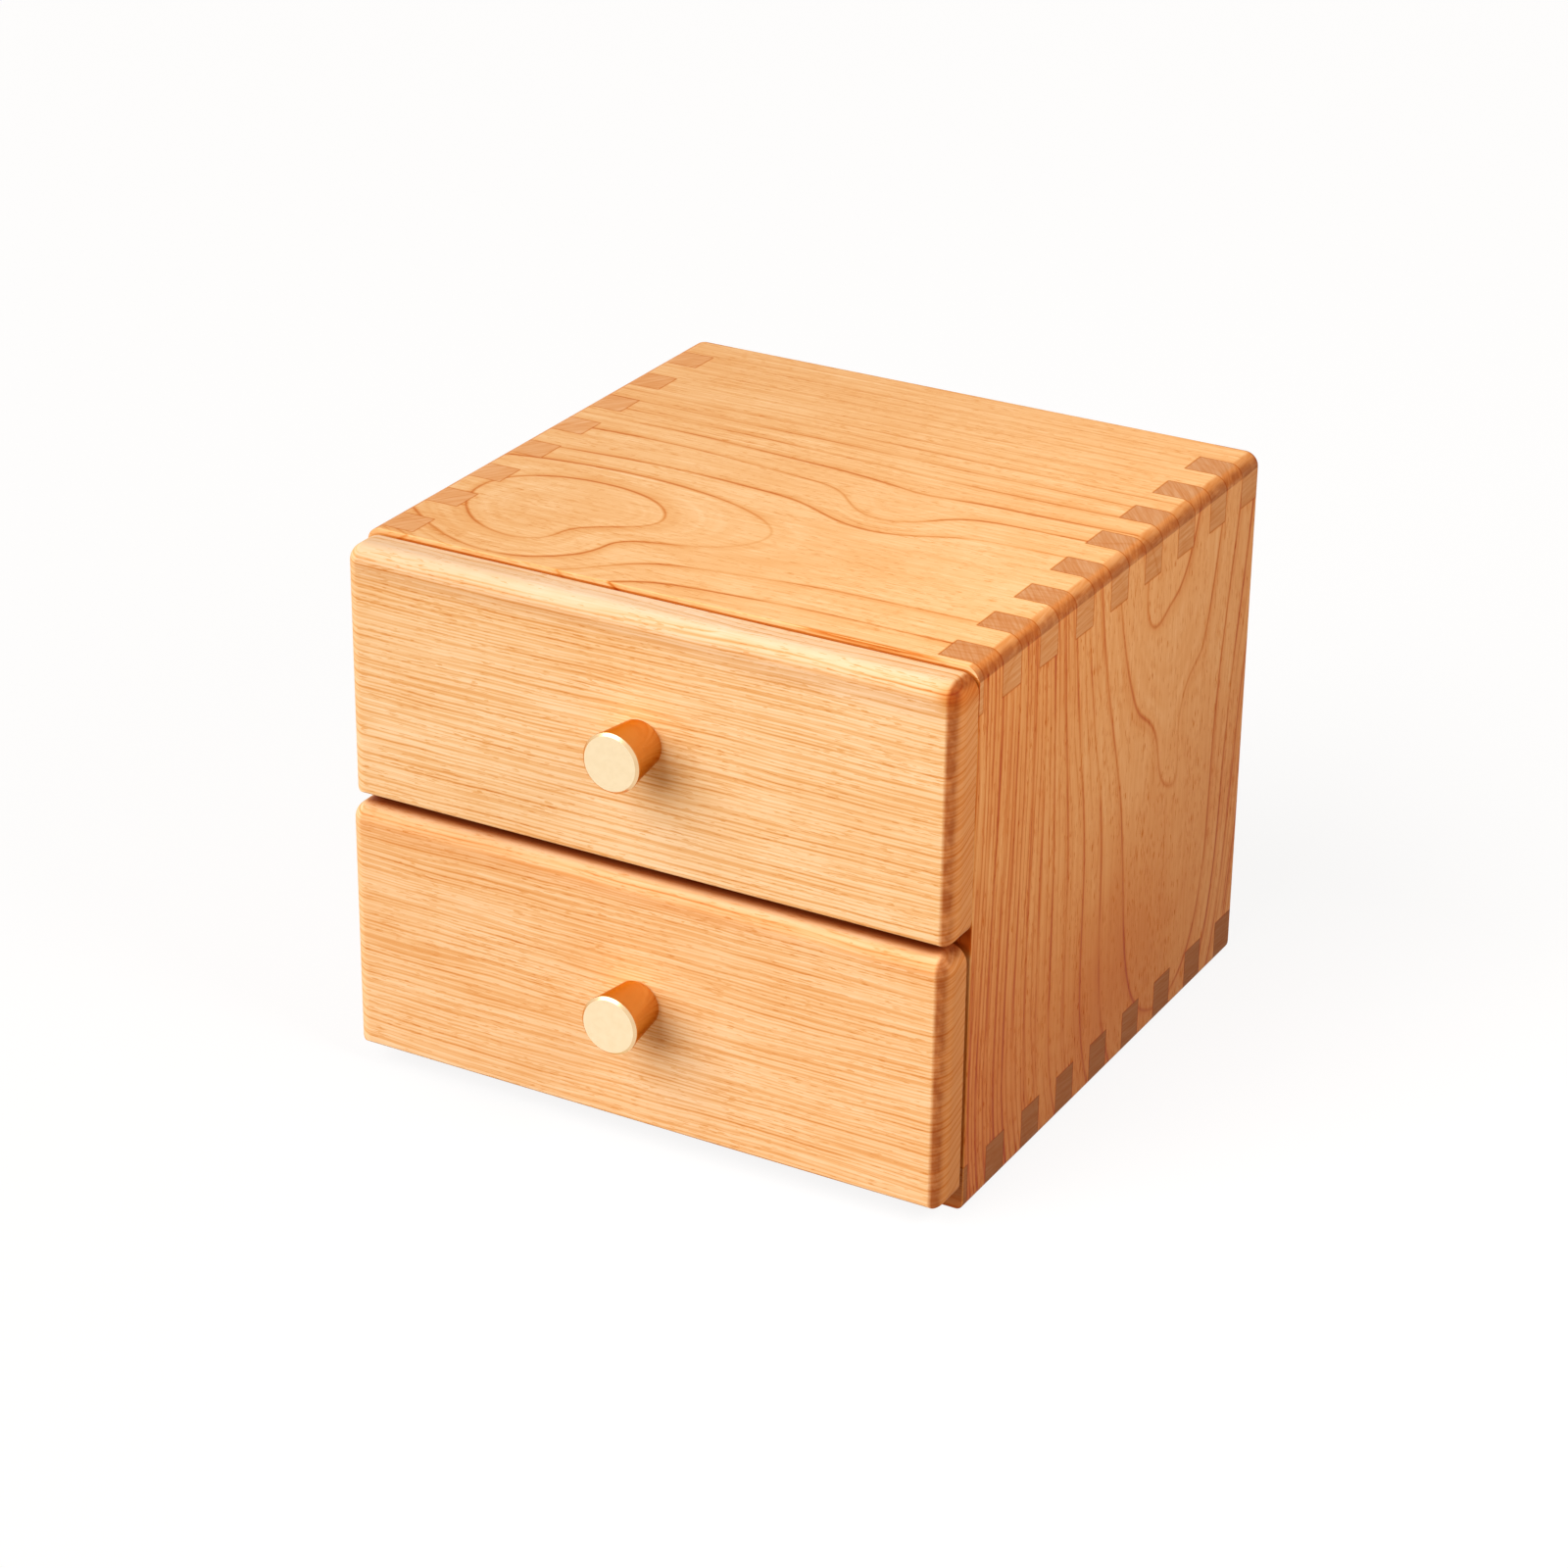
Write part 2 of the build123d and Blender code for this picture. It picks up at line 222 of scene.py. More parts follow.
def makeCarcassTree():
    tree, given, made = newTree(
        "carcassMarks",
        [("Place", "Vector", (0, 0, 0)), ("Facing", "Vector", (0, 0, 1))],
        [("Ink", "Float"), ("Band", "Float")])
    x, y, z = splitVector(tree, given["Place"])
    toSide = calc(tree, "ABSOLUTE", x)
    fromSide = calc(tree, "SUBTRACT", joints["halfWidth"], toSide)
    fromEnd = calc(tree, "MINIMUM", calc(tree, "SUBTRACT", joints["height"], z), z)
    inSide = calc(tree, "LESS_THAN", fromSide, joints["board"])
    inEnd = calc(tree, "LESS_THAN", fromEnd, joints["board"])
    fromStart = calc(tree, "SUBTRACT", y, joints["face"] + joints["firstFinger"])
    count = calc(tree, "DIVIDE", fromStart, joints["finger"])
    nearest = calc(tree, "ABSOLUTE", calc(tree, "SUBTRACT", count, calc(tree, "ROUND", count)))
    across = fade(tree, calc(tree, "MULTIPLY", nearest, joints["finger"]), *joints["seamWidth"])
    across = calc(tree, "MULTIPLY", across, calc(tree, "MULTIPLY", inSide, inEnd))

    # every second finger is a side board's, and those between are the top or bottom board's
    sideFinger = calc(tree, "LESS_THAN", calc(tree, "FRACT", calc(tree, "MULTIPLY", count, 0.5)), 0.5)
    endFinger = calc(tree, "SUBTRACT", 1.0, sideFinger)
    fromRoot = calc(tree, "ABSOLUTE", calc(tree, "SUBTRACT", fromSide, joints["board"]))
    ofSide = fade(tree, fromRoot, *joints["seamWidth"])
    ofSide = calc(tree, "MULTIPLY", ofSide, calc(tree, "MULTIPLY", sideFinger, inEnd))
    fromRoot = calc(tree, "ABSOLUTE", calc(tree, "SUBTRACT", fromEnd, joints["board"]))
    ofEnd = fade(tree, fromRoot, *joints["seamWidth"])
    ofEnd = calc(tree, "MULTIPLY", ofEnd, calc(tree, "MULTIPLY", endFinger, inSide))
    seams = calc(tree, "MAXIMUM", across, calc(tree, "MAXIMUM", ofSide, ofEnd))
    seams = calc(tree, "MULTIPLY", seams, joints["seamInk"])

    # painted shade: the dark line round the top of the upper front, fainter at its left end
    beyondX = calc(tree, "MAXIMUM", calc(tree, "SUBTRACT", toSide, grooveShade["halfWidth"]), 0.0)
    beyondZ = calc(tree, "MAXIMUM", calc(tree, "SUBTRACT", z, grooveShade["height"]), 0.0)
    beyond = calcVector(tree, "LENGTH", joinVector(tree, beyondX, beyondZ))
    out = calc(tree, "SUBTRACT", beyond, grooveShade["corner"])
    line = calc(tree, "MULTIPLY", fade(tree, out, *grooveShade["width"]), ease(tree, out, *grooveShade["inside"]))
    onFace = calc(tree, "LESS_THAN", y, joints["face"] + joints["faceDepth"])
    nearTop = calc(tree, "MULTIPLY", onFace, ease(tree, z, *grooveShade["rise"]))
    nearTop = calc(tree, "MULTIPLY", nearTop, ease(tree, x, *grooveShade["leftEnd"]))
    line = calc(tree, "MULTIPLY", calc(tree, "MULTIPLY", line, nearTop), grooveShade["ink"])

    # painted shade beside the gap between the fronts, and painted shade along the foot
    fromGap = calc(tree, "ABSOLUTE", calc(tree, "SUBTRACT", z, gapShade["height"]))
    shadeBesideGap = calc(tree, "MULTIPLY", fade(tree, fromGap, *gapShade["beside"]), onFace)
    shadeAtFoot = calc(tree, "MULTIPLY", fade(tree, z, *footShade["height"]), footShade["ink"])
    line = calc(tree, "ADD", line, calc(tree, "MULTIPLY_ADD", shadeBesideGap, gapShade["besideInk"], shadeAtFoot))
    tree.links.new(calc(tree, "ADD", seams, line), made["Ink"])

    # painted shade on the rounded upper edge at the right, turned away from the key light
    facing = splitVector(tree, given["Facing"])
    band = ease(tree, facing["Z"], *edgeShade["begins"])
    band = calc(tree, "MULTIPLY", band, fade(tree, facing["Z"], *edgeShade["ends"]))
    band = calc(tree, "MULTIPLY", band, ease(tree, facing["X"], *edgeShade["turnedRight"]))
    patches = shadePatches(tree, given["Place"], edgeShade, edgeShade["seed"])
    tree.links.new(calc(tree, "MULTIPLY", band, patches), made["Band"])
    return tree


# The figure on a cut face. A cut is 0 where the face lies along the grain and 1 where it crosses it;
# slopes are in rings per mm, and the stain is what one measure of ink leaves of a colour.
grain = {"slanted": (0.13, 0.38), "endCut": (0.82, 0.98), "leastSlope": 0.015,
         "endMiddle": 0.44, "endInk": 4.0, "stain": (0.885, 0.70, 0.485, 1)}
fine = {"count": 2.3, "stretch": (70, 12, 12), "bend": 1.6, "width": 0.6, "slopes": (0.05, 0.16),
        "seedStep": 1.3}
pores = {"crowd": (0.3, 0.7, 0.72, 0.62), "edge": (0.0, 0.05), "ink": 1.7}

# Streaks that follow the rings (their second size is in rings) or the grain, fibres, slow changes of tone,
# short open pores and how they crowd, and the fine lines of a cut across the grain
patterns = {
    "ringStreak": {"stretch": (70, 0.16, 1), "detail": 2.0, "rough": 0.6, "seedStep": 0.0, "ink": 1.3},
    "streak": {"stretch": (50, 1.1, 1.1), "detail": 2.0, "rough": 0.55, "seedStep": 3.0, "ink": 1.3},
    "fibre": {"stretch": (11, 0.32, 0.32), "detail": 2.0, "rough": 0.6, "seedStep": 4.0, "ink": 1.5},
    "tone": {"stretch": (60, 26, 26), "detail": 2.0, "rough": 0.5, "seedStep": 5.0, "ink": 0.8},
    "mottle": {"stretch": (7, 16, 16), "detail": 1.0, "rough": 0.5, "seedStep": 6.0, "ink": 0.35},
    "pore": {"stretch": (3.6, 0.36, 0.36), "detail": 0.0, "rough": 0.5, "seedStep": 9.0},
    "crowd": {"stretch": (26, 5, 5), "detail": 1.0, "rough": 0.5, "seedStep": 12.0},
    "endLines": {"stretch": (60, 12, 0.75), "detail": 2.0, "rough": 0.6, "seedStep": 15.0},
}
finish = {"rough": 0.38, "fibreRough": 0.14, "poreRough": 0.2, "slantRough": 0.12, "fibreHeight": 0.3,
          "poreHeight": -1.0, "lineHeight": -0.25, "bump": 0.3, "relief": 0.06 * mm, "specular": 0.08}


def makePattern(tree, name, point, seed):
    own = patterns[name]
    shift = calc(tree, "ADD", seed, own["seedStep"])
    return noise(tree, point, own["stretch"], own["detail"], own["rough"], shift)


def addPattern(tree, ink, name, pattern):
    # a pattern darkens above its middle and lightens below it
    return calc(tree, "MULTIPLY_ADD", calc(tree, "SUBTRACT", pattern, 0.5), patterns[name]["ink"], ink)


def makeFigureTree():
    tree, given, made = newTree(
        "woodFigure",
        [("Point", "Vector", (0, 0, 0)), ("Facing", "Vector", (0, 0, 1)), ("Rings", "Float", 0.0),
         ("Lean", "Vector", (0, 0.1, 0)), ("Cut", "Float", 0.0), ("Wood", "Color", (0.8, 0.5, 0.3, 1)),
         ("SlantWood", "Color", (0.7, 0.3, 0.1, 1)), ("EndWood", "Color", (0.6, 0.3, 0.1, 1)),
         ("EndAngle", "Float", 0.0), ("EndRings", "Float", 0.2), ("LineWidth", "Float", 0.5),
         ("LineStrength", "Float", 1.0), ("FineLines", "Float", 0.5), ("Streaks", "Float", 1.0),
         ("Pores", "Float", 1.0), ("Seams", "Float", 0.0), ("Seed", "Float", 0.0)],
        [("Colour", "Color"), ("Roughness", "Float"), ("Height", "Float")])
    point, rings, seed = given["Point"], given["Rings"], given["Seed"]
    slanted = ease(tree, given["Cut"], *grain["slanted"])
    endCut = ease(tree, given["Cut"], *grain["endCut"])

    # how fast the ring count changes along the cut face
    through = calcVector(tree, "DOT_PRODUCT", given["Lean"], given["Facing"])
    outwards = calcVector(tree, "MULTIPLY", given["Facing"], through)
    along = calcVector(tree, "LENGTH", calcVector(tree, "SUBTRACT", given["Lean"], outwards))
    slope = calc(tree, "MAXIMUM", along, grain["leastSlope"])

    # a line for each ring, and finer ones between where the rings lie close
    mainLines = ringMarks(tree, rings, slope, point, given["LineWidth"], seed)
    bend = calc(tree, "MULTIPLY", noise(tree, point, fine["stretch"]), fine["bend"])
    between = calc(tree, "MULTIPLY_ADD", rings, fine["count"], bend)
    fineSlope = calc(tree, "MULTIPLY", slope, fine["count"])
    fineWidth = calc(tree, "MULTIPLY", given["LineWidth"], fine["width"])
    fineSeed = calc(tree, "ADD", seed, fine["seedStep"])
    fineLines = ringMarks(tree, between, fineSlope, point, fineWidth, fineSeed)
    fineLines = calc(tree, "MULTIPLY", fineLines, ease(tree, slope, *fine["slopes"]))
    fineLines = calc(tree, "MULTIPLY", fineLines, given["FineLines"])
    lines = calc(tree, "MULTIPLY", calc(tree, "ADD", mainLines, fineLines), given["LineStrength"])

    ringPlace = joinVector(tree, splitVector(tree, point)["X"], rings)
    fibre = makePattern(tree, "fibre", point, seed)
    streaks = addPattern(tree, 0.0, "ringStreak", makePattern(tree, "ringStreak", ringPlace, seed))
    streaks = addPattern(tree, streaks, "streak", makePattern(tree, "streak", point, seed))
    streaks = addPattern(tree, streaks, "fibre", fibre)
    ink = calc(tree, "MULTIPLY_ADD", streaks, given["Streaks"], lines)
    for name in ("tone", "mottle"):
        ink = addPattern(tree, ink, name, makePattern(tree, name, point, seed))

    # pores are dashes along the grain and dots on an end cut
    crowd = ease(tree, makePattern(tree, "crowd", point, seed), *pores["crowd"])
    pore = calc(tree, "SUBTRACT", makePattern(tree, "pore", point, seed), crowd)
    pore = calc(tree, "MULTIPLY", ease(tree, pore, *pores["edge"]), given["Pores"])
    ink = calc(tree, "MULTIPLY_ADD", pore, pores["ink"], ink)

    # a cut across the grain shows fine lines side by side, at the board's own angle
    slant = tree.nodes.new("ShaderNodeVectorRotate")
    slant.rotation_type = "X_AXIS"
    tree.links.new(given["EndAngle"], slant.inputs["Angle"])
    tree.links.new(point, slant.inputs["Vector"])
    endLines = makePattern(tree, "endLines", slant.outputs[0], seed)
    endInk = calc(tree, "MULTIPLY", calc(tree, "SUBTRACT", endLines, grain["endMiddle"]), grain["endInk"])
    endInk = calc(tree, "MULTIPLY", endInk, calc(tree, "SUBTRACT", 1.0, given["EndRings"]))
    mix = tree.nodes.new("ShaderNodeMix")
    tree.links.new(slanted, mix.inputs["Factor"])
    tree.links.new(ink, mix.inputs["A"])
    tree.links.new(calc(tree, "MULTIPLY_ADD", lines, given["EndRings"], endInk), mix.inputs["B"])

    stain = tree.nodes.new("ShaderNodeGamma")
    stain.inputs["Color"].default_value = grain["stain"]
    tree.links.new(calc(tree, "ADD", given["Seams"], mix.outputs["Result"]), stain.inputs["Gamma"])
    wood = blendColour(tree, slanted, given["Wood"], given["SlantWood"])
    wood = blendColour(tree, endCut, wood, given["EndWood"])
    tree.links.new(blendColour(tree, 1.0, wood, stain.outputs["Color"], "MULTIPLY"), made["Colour"])

    rough = calc(tree, "MULTIPLY_ADD", fibre, finish["fibreRough"], finish["rough"])
    rough = calc(tree, "MULTIPLY_ADD", pore, finish["poreRough"], rough)
    tree.links.new(calc(tree, "MULTIPLY_ADD", slanted, finish["slantRough"], rough), made["Roughness"])
    height = calc(tree, "MULTIPLY", pore, finish["poreHeight"])
    height = calc(tree, "MULTIPLY_ADD", fibre, finish["fibreHeight"], height)
    tree.links.new(calc(tree, "MULTIPLY_ADD", lines, finish["lineHeight"], height), made["Height"])
    return tree


ringTree = makeRingTree()
swellingTree = makeSwellingTree()
carcassTree = makeCarcassTree()
figureTree = makeFigureTree()

# Tones of the boards, as linear colours before their lines and pores darken them
honey = (0.95, 0.545, 0.235, 1)
darkHoney = (0.80, 0.35, 0.115, 1)
sideHoney = (0.90, 0.435, 0.15, 1)
# painted shade: the bottom board darkened for its strip in shade under the lower front
shadedLowBoard = (0.64, 0.23, 0.072, 1)
darkSide = (0.78, 0.31, 0.09, 1)
# painted shade: the right side's tone low down, darker than at its upper edge
shadedLowSide = (0.81, 0.315, 0.078, 1)
paleFront = (1.0, 0.715, 0.435, 1)
# darkFront is partly the darker oblique cut and partly painted shade on the fronts' rounded right ends
darkFront = (0.82, 0.39, 0.155, 1)
# the upper front's tone along its top edge
topBandFront = (0.92, 0.645, 0.41, 1)
lowFront = (1.0, 0.685, 0.405, 1)
# painted shade: the lower front's top edge, in shade under the upper front
shadedFrontTop = (0.95, 0.56, 0.285, 1)
boxWood = (0.88, 0.62, 0.38, 1)
darkBox = (0.78, 0.48, 0.26, 1)

# How each board is cut: axes are along the grain, across the face and out of the face. Each swelling is
# a centre, a spread and a height in rings, and each shade is one with a height in ink. Where a board has
# fade, its rings show less from one place across the face to another, down to farRings of their strength.
topSwellings = [((-58, -84, 0), (48, 64, 60), -2.9), ((-67, -10, 0), (60, 14, 60), 0.75),
                ((-33, -67, 0), (24, 10, 60), 0.75), ((-18, -84, 0), (24, 16, 60), 0.6),
                ((26, -9, 0), (18, 15, 60), 1.2), ((60, 16, 0), (80, 22, 60), 0.4)]
sideSwellings = [((-90, 29, 0), (60, 70, 60), -1.7), ((10, -20, 0), (45, 30, 60), 0.6),
                 ((-50, 65, 0), (60, 28, 60), -1.2), ((-85, -94, 0), (70, 60, 60), -2.2),
                 ((85, -94, 0), (70, 60, 60), 2.2), ((14, 17, 0), (12, 10, 40), 0.45),
                 ((18, 50, 0), (14, 9, 40), 0.5), ((61, 20, 0), (10, 7, 40), -0.3)]
sideShades = [((-55, 5, 0), (34, 36, 60), 0.8), ((-60, 85, 0), (40, 26, 60), -0.9)]
# painted shade: a dark spot on the upper front's top right corner, turned away from the key light
frontCornerShade = [((97, 35.5, 0), (3.4, 3.0, 60), 2.4)]
frontCut = {"axes": "XZY", "slantWood": darkFront, "endWood": darkFront, "shadedToRight": paleFront,
            "lineWidth": 0.34, "lineStrength": 1.15, "fineLines": 0.8, "streaks": 0.5, "pores": 0.55,
            "endAngle": 113, "endRings": 0.9}
boards = {
    "top_board": {"axes": "XYZ", "pith": (-39, -32), "packing": 1150, "wander": 3.5, "wood": honey,
                  "slantWood": darkHoney, "endWood": (0.75, 0.35, 0.135, 1), "swellings": topSwellings,
                  "lineStrength": 2.7, "fade": (0, 60), "farRings": 0.19, "endAngle": -4, "seams": True},
    # its tones are darkened as painted shade for the strip under the lower front
    "bottom_board": {"axes": "XYZ", "pith": (20, 30), "packing": 1100, "wander": 6, "wood": shadedLowBoard,
                     "slantWood": darkHoney, "endWood": (0.45, 0.17, 0.057, 1), "lineStrength": 1.7,
                     "endAngle": 4, "seams": True},
    "left_side": {"axes": "ZYX", "pith": (-25, 40), "tilt": -0.25, "packing": 1200, "wander": 8,
                  "wood": sideHoney, "slantWood": darkSide, "endWood": (0.86, 0.44, 0.19, 1),
                  "lineStrength": 1.9, "fineLines": 0.7, "endAngle": -35, "seams": True},
    "right_side": {"axes": "ZYX", "pith": (29, -44), "tilt": 0.3, "packing": 1150, "wander": 3.5,
                   "wood": shadedLowSide, "slantWood": darkSide, "endWood": (0.66, 0.31, 0.13, 1),
                   "edge": (-60, 30), "edgeWood": sideHoney, "swellings": sideSwellings,
                   "shades": sideShades, "lineWidth": 0.62, "lineStrength": 2.5, "fineLines": 0.8,
                   "pores": 1.1, "endAngle": 38, "seams": True},
    "shelf": {"axes": "XYZ", "pith": (60, -50), "packing": 700, "wander": 4, "wood": honey,
              "slantWood": darkHoney, "endWood": darkHoney},
    "back_panel": {"axes": "ZXY", "pith": (10, 40), "packing": 1500, "wander": 5, "wood": boxWood},
    "upper_drawer_front": {**frontCut, "pith": (-260, 110), "packing": 1250, "wander": 4, "wood": paleFront,
                           "edge": (27, 34), "edgeWood": topBandFront, "shades": frontCornerShade},
    "lower_drawer_front": {**frontCut, "pith": (-250, 110), "packing": 1200, "wander": 5, "wood": lowFront,
                           "edge": (30, 36), "edgeWood": shadedFrontTop},
}
boxWalls = {"front": ("XZY", (-70, 40)), "back": ("XZY", (80, 30)), "left": ("YZX", (-80, 30)),
            "right": ("YZX", (70, 30))}
for drawer in ("upper_drawer", "lower_drawer"):
    for wall, (axes, pith) in boxWalls.items():
        boards[f"{drawer}_box_{wall}"] = {"axes": axes, "pith": pith, "packing": 700, "wander": 4,
                                          "wood": boxWood}
    boards[drawer + "_bottom"] = {"axes": "XYZ", "pith": (10, 60), "packing": 1500, "wander": 5,
                                  "wood": boxWood}

edgeBend = {"stretch": (90, 9, 9), "amount": 10.0}  # how far in mm the line between two tones wanders
# painted shade: along a drawer front its rounded edges darken towards the right end, away from the key
# light
shadedToRight = (-60, 60)  # from here to there along a drawer front, its rounded edges go from pale to dark
letDown = {"amount": 0.5, "colour": (0.25, 0.06, 0.015, 1)}  # bounced light meets a darker, redder wood
seedStep = 11.0  # far enough that no two boards share a noise


def grainAxes(tree, vector, axes):
    parts = splitVector(tree, vector)
    return parts, joinVector(tree, *(parts[axis] for axis in axes))


def growRings(tree, board, point, seed):
    rings = useTree(tree, ringTree, Point=point, PithAcross=board["pith"][0], PithDepth=board["pith"][1],
                    PithTilt=board.get("tilt", 0.0), Packing=board["packing"], Wander=board["wander"],
                    Seed=seed)
    count, lean = rings["Rings"], rings["Lean"]
    for middle, spread, height in board.get("swellings", []):
        swelling = useTree(tree, swellingTree, Point=point, Centre=middle, Spread=spread, Height=height)
        count = calc(tree, "ADD", count, swelling["Rings"])
        lean = calcVector(tree, "ADD", lean, swelling["Lean"])
    return count, lean


def toneTowardsEdge(tree, board, point, z, seed):
    # the tone changes towards the board's upper edge: on the right side the darker lower part is painted
    # shade,
    # # on the lower front the darker top edge is painted shade, and the upper front has its own tone along
    # its top
    bend = noise(tree, point, edgeBend["stretch"], 2.0, 0.5, seed)
    height = calc(tree, "SUBTRACT", z, edgeBend["amount"] / 2)
    height = calc(tree, "MULTIPLY_ADD", bend, edgeBend["amount"], height)
    return blendColour(tree, ease(tree, height, *board["edge"]), board["wood"], board["edgeWood"])


# Painted shade: an occlusion node darkens the drawer fronts' edges that turn to each other in the gap
def paintGapShade(tree, colour, height, back):
    # height is from the middle of the gap, and back is how far the surface turns to the back
    occlusion = tree.nodes.new("ShaderNodeAmbientOcclusion")
    occlusion.samples = gapShade["samples"]
    occlusion.inputs["Distance"].default_value = gapShade["reach"]
    depth = fade(tree, occlusion.outputs["AO"], *gapShade["openness"])
    depth = calc(tree, "MULTIPLY", depth, fade(tree, calc(tree, "ABSOLUTE", height), *gapShade["zone"]))
    depth = calc(tree, "MULTIPLY", depth, fade(tree, back, *gapShade["turnedBack"]))
    shade = tree.nodes.new("ShaderNodeGamma")
    shade.inputs["Color"].default_value = gapShade["tint"]
    tree.links.new(depth, shade.inputs["Gamma"])
    return blendColour(tree, 1.0, colour, shade.outputs["Color"], "MULTIPLY")


# darkens a colour towards a tone, for painted shade
def paintShade(tree, colour, amount, tone):
    return blendColour(tree, 1.0, colour, blendColour(tree, amount, white, tone), "MULTIPLY")


def makeWood(name, board, seed):
    material = bpy.data.materials.new(name)
    material.use_nodes = True
    tree = material.node_tree
    shader = tree.nodes["Principled BSDF"]
    low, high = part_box(name)
    centre = (low + high) / 2

    source = tree.nodes.new("ShaderNodeTexCoord")
    mapping = tree.nodes.new("ShaderNodeMapping")
    mapping.inputs["Scale"].default_value = (1 / mm, 1 / mm, 1 / mm)
    mapping.inputs["Location"].default_value = -centre / mm
    tree.links.new(source.outputs["Object"], mapping.inputs["Vector"])
    place, point = grainAxes(tree, mapping.outputs[0], board["axes"])
    normal, facing = grainAxes(tree, source.outputs["Normal"], board["axes"])
    count, lean = growRings(tree, board, point, seed)

    isFront = "shadedToRight" in board
    wood, slantWood, extraInk = board["wood"], board.get("slantWood", darkBox), 0.0
    strength = board.get("lineStrength", 1.0)
    if "fade" in board:
        across = place[board["axes"][1]]
        strength = ease(tree, across, *board["fade"], strength, strength * board["farRings"])
    if "edge" in board:
        wood = toneTowardsEdge(tree, board, point, place["Z"], seed)
    # painted shade: a front's rounded edges go from its pale tone at the left to the darker one at the
    # right
    if isFront:
        slantWood = blendColour(tree, ease(tree, place["X"], *shadedToRight), board["shadedToRight"], slantWood)
    if "seams" in board:
        # the carcass's seams, and its painted shade along the groove, beside the gap and along the foot
        inPart = calcVector(tree, "ADD", mapping.outputs[0], centre / mm)
        marks = useTree(tree, carcassTree, Place=inPart, Facing=source.outputs["Normal"])
        extraInk = marks["Ink"]
    for middle, spread, height in board.get("shades", []):
        patch = useTree(tree, swellingTree, Point=point, Centre=middle, Spread=spread, Height=height)
        extraInk = calc(tree, "ADD", extraInk, patch["Rings"])

    figure = useTree(tree, figureTree, Point=point, Facing=facing, Rings=count, Lean=lean,
                     Cut=calc(tree, "ABSOLUTE", normal[board["axes"][0]]), Wood=wood, SlantWood=slantWood,
                     EndWood=board.get("endWood", darkBox),
                     EndAngle=math.radians(board.get("endAngle", 0.0)),
                     EndRings=board.get("endRings", 0.2), LineWidth=board.get("lineWidth", 0.5),
                     LineStrength=strength, FineLines=board.get("fineLines", 0.5),
                     Streaks=board.get("streaks", 1.0), Pores=board.get("pores", 0.6), Seams=extraInk,
                     Seed=seed)
    colour = figure["Colour"]
    if "seams" in board:
        # painted shade on the carcass's rounded right edge
        colour = paintShade(tree, colour, marks["Band"], edgeShade["tone"])
    if isFront:
        # painted shade in the gap between the fronts
        aboveGap = calc(tree, "SUBTRACT", place["Z"], gapShade["height"] - centre.z / mm)
        colour = paintGapShade(tree, colour, aboveGap, normal["Y"])
        # painted shade: the rounded right end is darkest where it turns away from the face and the key
        # light
        turned = calc(tree, "MULTIPLY", ease(tree, normal["X"], *endShade["begins"]),
                      fade(tree, normal["X"], *endShade["ends"]))
        turned = calc(tree, "MULTIPLY", turned, shadePatches(tree, mapping.outputs[0], endShade, seed))
        colour = paintShade(tree, colour, turned, endShade["tone"])
    rays = tree.nodes.new("ShaderNodeLightPath")
    again = calc(tree, "MULTIPLY", rays.outputs["Is Diffuse Ray"], letDown["amount"])
    tree.links.new(blendColour(tree, again, colour, letDown["colour"]), shader.inputs["Base Color"])
    tree.links.new(figure["Roughness"], shader.inputs["Roughness"])
    bump = tree.nodes.new("ShaderNodeBump")
    bump.inputs["Strength"].default_value = finish["bump"]
    bump.inputs["Distance"].default_value = finish["relief"]
    tree.links.new(figure["Height"], bump.inputs["Height"])
    tree.links.new(bump.outputs["Normal"], shader.inputs["Normal"])
    shader.inputs["Specular IOR Level"].default_value = finish["specular"]
    return material


def dress(name, material):
    for slotOfNode in nodes[name].material_slots:
        slotOfNode.material = material


for seed, (name, board) in enumerate(boards.items()):
    dress(name, makeWood(name, board, seed * seedStep))
print("wood:", len(boards), "boards")


# Brass knobs and steel screws. The turned sides of the brass are darker than its end faces, partly a deeper
# tone of the metal and partly painted reflection of the wood and its shade; handling dulls a metal a little
# in clouds.

metals = {
    "brass": {"face": (0.99, 0.79, 0.51, 1), "side": (0.70, 0.375, 0.135, 1), "endFace": (0.5, 0.9),
              "glancing": (0.90, 0.55, 0.22, 1), "rough": 0.26},
    "screwSteel": {"face": (0.47, 0.46, 0.44, 1), "glancing": white, "rough": 0.35},
}
dulling = {"stretch": (2.5, 2.5, 2.5), "clouds": (0.3, 0.7), "amount": 0.4, "tint": (0.92, 0.88, 0.82, 1),
           "rough": 0.06}


def makeMetal(name, metal):
    material = bpy.data.materials.new(name)
    material.use_nodes = True
    tree = material.node_tree
    shader = tree.nodes["Principled BSDF"]
    shader.inputs["Metallic"].default_value = 1.0
    shader.inputs["Specular Tint"].default_value = metal["glancing"]
    source = tree.nodes.new("ShaderNodeTexCoord")
    mapping = tree.nodes.new("ShaderNodeMapping")
    mapping.inputs["Scale"].default_value = (1 / mm, 1 / mm, 1 / mm)
    tree.links.new(source.outputs["Object"], mapping.inputs["Vector"])
    colour = metal["face"]
    # painted reflection and shade: the turned sides take the darker side tone
    if "side" in metal:
        facing = splitVector(tree, source.outputs["Normal"])
        endFace = ease(tree, calc(tree, "ABSOLUTE", facing["Y"]), *metal["endFace"])
        colour = blendColour(tree, endFace, metal["side"], colour)
    cloud = noise(tree, mapping.outputs[0], dulling["stretch"], 3.0, 0.6, 1.0)
    amount = calc(tree, "MULTIPLY", ease(tree, cloud, *dulling["clouds"]), dulling["amount"])
    tint = blendColour(tree, amount, colour, dulling["tint"], "MULTIPLY")
    tree.links.new(tint, shader.inputs["Base Color"])
    rough = calc(tree, "MULTIPLY_ADD", cloud, dulling["rough"], metal["rough"] - dulling["rough"] / 2)
    tree.links.new(rough, shader.inputs["Roughness"])
    return material


